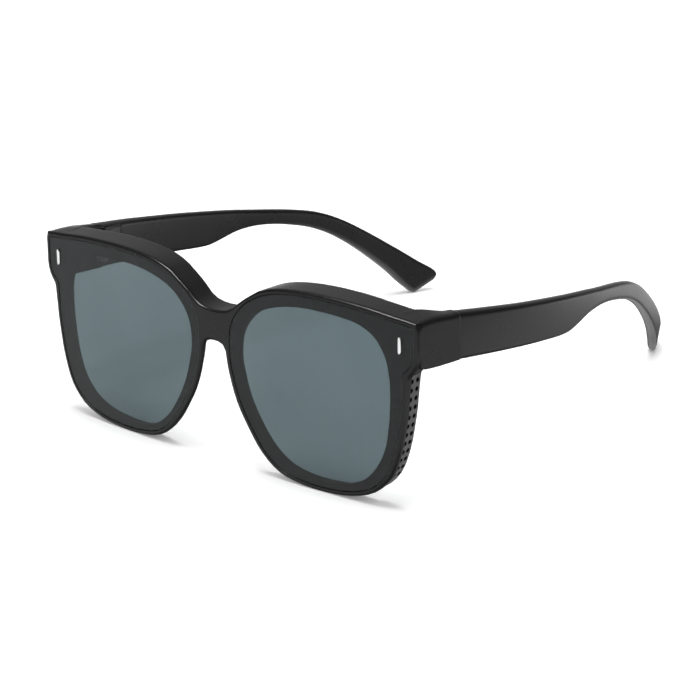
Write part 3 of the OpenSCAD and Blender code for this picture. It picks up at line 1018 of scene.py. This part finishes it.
@dataclass
class SmallMetal:
    """Corner rivets, hinge leaves and hinge screws.

    A rivet rises from a flange in the front through a narrow neck to a crown over the plate.
    The neck's step is a share of the flange's height, and each step of the crown has its rise as
    a share of the proud height and its width as a share of the step below.
    """

    bright: bpy.types.Material
    steel: bpy.types.Material
    rivet_proud: float = 0.45 * MM
    rivet_flange: float = 0.5 * MM
    rivet_neck: float = 0.72
    rivet_step: float = 0.02
    rivet_crown: tuple[tuple[float, float], ...] = ((0.3, 0.92), (0.2, 0.86))
    rivet_end: float = 0.49
    rivet_round: int = 7
    rivet_crease: float = 20.0
    screw_facets: int = 32
    slot_width: float = 0.35 * MM
    slot_depth: float = 0.4 * MM
    slot_reach: float = 3.0
    shank: float = 0.7 * MM
    head: float = 0.7 * MM

    def build(self) -> None:
        """Make all metal pieces."""
        self.build_rivets()
        self.build_screws()
        for side in Side:
            for part, body in (("front_hinge", Body.FRONT), ("temple_hinge", side.temple)):
                node = f"{part}_{side.value}"
                piece = welded_copy(node, f"{part}_leaf_{side.value}")
                dress(piece, self.steel, body, "hinge_steel", node)

    def build_rivets(self) -> None:
        """Make both crowned oblong rivets."""
        low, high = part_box("rivet_right")
        bench = ShapeBench("oblong_rivets")
        width = bench.size("Width", high.x - low.x)
        height = bench.size("Height", high.z - low.z)
        length = bench.size("Length", high.y - low.y)
        proud = bench.size("Proud", self.rivet_proud)
        flange = bench.size("Flange", self.rivet_flange)
        outline = bench.add(
            "GeometryNodeCurvePrimitiveQuadrilateral", Width=width, Height=height
        )
        ends = bench.add(
            "GeometryNodeFilletCurve",
            mode="POLY",
            Curve=outline.outputs[0],
            Count=self.rivet_round,
            Radius=bench.sum(0.0, width, self.rivet_end),
        )
        face = bench.add("GeometryNodeFillCurve", mode="NGONS", Curve=ends.outputs[0])
        back = bench.add("GeometryNodeFlipFaces", Mesh=face.outputs[0])
        crown = sum(rise for rise, _ in self.rivet_crown)
        straight = bench.sum(length, flange, -1.0 - self.rivet_step)
        steps = [
            (flange, 1.0),
            (bench.sum(0.0, flange, self.rivet_step), self.rivet_neck),
            (bench.sum(straight, proud, -crown), 1.0),
        ]
        steps += [(bench.sum(0.0, proud, rise), share) for rise, share in self.rivet_crown]
        solid, top = face.outputs[0], None
        for offset, share in steps:
            solid, top = self.raise_face(bench, solid, top, offset, share)
        closed = bench.add(
            "GeometryNodeMergeByDistance",
            Geometry=bench.join(solid, back.outputs[0]),
            Distance=WELD,
        )
        stood = bench.add(
            "GeometryNodeTransform",
            Geometry=closed.outputs[0],
            Rotation=(math.pi / 2, 0.0, 0.0),
        )
        bench.repeat(stood.outputs[0], self.bright)
        middles = []
        for side in Side:
            low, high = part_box(f"rivet_{side.value}")
            middles.append(Vector(((low.x + high.x) / 2, high.y, (low.z + high.z) / 2)))
        rivets = bench.run("corner_rivets", middles, crease=self.rivet_crease)
        dress(rivets, None, Body.FRONT, "bright_steel", "rivet_left", "rivet_right")

    @staticmethod
    def raise_face(
        bench: ShapeBench, mesh: Socket, chosen: Socket | None, offset: Socket, share: float
    ) -> tuple[Socket, Socket]:
        """Extrude a face and make its new top narrower.

        Args:
            bench: the tree.
            mesh: the mesh so far.
            chosen: which faces to raise, or None for all.
            offset: how far.
            share: the new top's width as a share of the old.

        Returns:
            The mesh and the choice of the new top.
        """
        raised = bench.add(
            "GeometryNodeExtrudeMesh",
            mode="FACES",
            Mesh=mesh,
            Offset_Scale=offset,
            Individual=False,
        )
        if chosen is not None:
            bench.feed(raised.inputs["Selection"], chosen)
        drawn = bench.add(
            "GeometryNodeScaleElements",
            scale_mode="SINGLE_AXIS",
            Geometry=raised.outputs["Mesh"],
            Selection=raised.outputs["Top"],
            Scale=share,
            Axis=(1.0, 0.0, 0.0),
        )
        return drawn.outputs[0], raised.outputs["Top"]

    def build_screws(self) -> None:
        """Make both slotted hinge screws."""
        low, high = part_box("hinge_screw_right")
        bench = ShapeBench("slotted_screws")
        facets = bench.size("Facets", self.screw_facets, "NodeSocketInt")
        head_radius = bench.size("Head radius", (high.x - low.x) / 2)
        head_height = bench.size("Head height", self.head)
        length = bench.size("Length", high.z - low.z)
        shank_radius = bench.size("Shank radius", self.shank)
        slot_width = bench.size("Slot width", self.slot_width)
        slot_height = bench.size("Slot height", 2 * self.slot_depth)
        below = bench.sum(length, head_height, -1.0)
        neck = bench.sum(0.0, head_height, -1.0)
        shank = bench.cylinder(facets, shank_radius, below, neck)
        head = bench.cylinder(facets, head_radius, head_height, 0.0)
        across = bench.sum(0.0, head_radius, self.slot_reach)
        box = bench.vector(across, slot_width, slot_height)
        slot = bench.add("GeometryNodeMeshCube", Size=box).outputs["Mesh"]
        bench.repeat(bench.join(bench.cut(head, slot), shank), self.steel)
        tops = []
        for side in Side:
            low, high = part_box(f"hinge_screw_{side.value}")
            tops.append(Vector(((low.x + high.x) / 2, (low.y + high.y) / 2, high.z)))
        screws = bench.run("hinge_screws", tops)
        dress(
            screws, None, Body.FRONT, "hinge_steel", "hinge_screw_left", "hinge_screw_right"
        )


def main() -> None:
    """Build the sunglasses, the studio and the camera."""
    logging.basicConfig(level=logging.INFO, format="%(message)s")
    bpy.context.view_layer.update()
    bpy.context.scene.view_settings.view_transform = "Standard"
    shell = MouldedPlastic(
        "black_plastic", dark=(0.0075, 0.0075, 0.0076), light=(0.0095, 0.0095, 0.0097)
    ).build()
    # A slightly lighter, glossier copy of the black plastic: painted light on the temples
    temple_lit_copy = MouldedPlastic(
        "temple_plastic_lit_copy", dark=(0.008, 0.008, 0.0081), light=(0.01, 0.01, 0.0102), ior=1.6
    ).build()
    # The same black plastic painted lighter grey: painted light on the side panels
    panel = MouldedPlastic(
        "lit_panel_plastic",
        dark=(0.08, 0.08, 0.081),
        light=(0.1, 0.1, 0.101),
        roughness=(0.4, 0.5),
    ).build()
    # Near-black finish of the hole liners: painted shade
    hole_shade = MouldedPlastic(
        "hole_shade_plastic",
        dark=(0.001, 0.001, 0.001),
        light=(0.002, 0.002, 0.002),
        roughness=(0.6, 0.8),
        front_edge=0.0,
    ).build()
    plate = TintedPlate(
        "tinted_plate", dark=(0.0695, 0.1, 0.11), light=(0.0864, 0.12, 0.129)
    ).build()
    bright = PolishedSteel(
        "bright_steel",
        colour=(1.0, 1.0, 1.0),
        shade=(0.95, 0.95, 0.95),
        roughness=(0.08, 0.14),
    ).build()
    steel = PolishedSteel(
        "hinge_steel",
        colour=(0.55, 0.55, 0.56),
        shade=(0.4, 0.4, 0.41),
        roughness=(0.25, 0.4),
        brushed=(1.0, 1.0, 12.0),
    ).build()
    MouldedShells(shell, temple_lit_copy).build()
    LensPlates(plate).build()
    SidePanels(panel, hole_shade).build()
    SmallMetal(bright, steel).build()
    Studio().build()
    PhotoCamera().build()


if __name__ == "__main__":
    main()
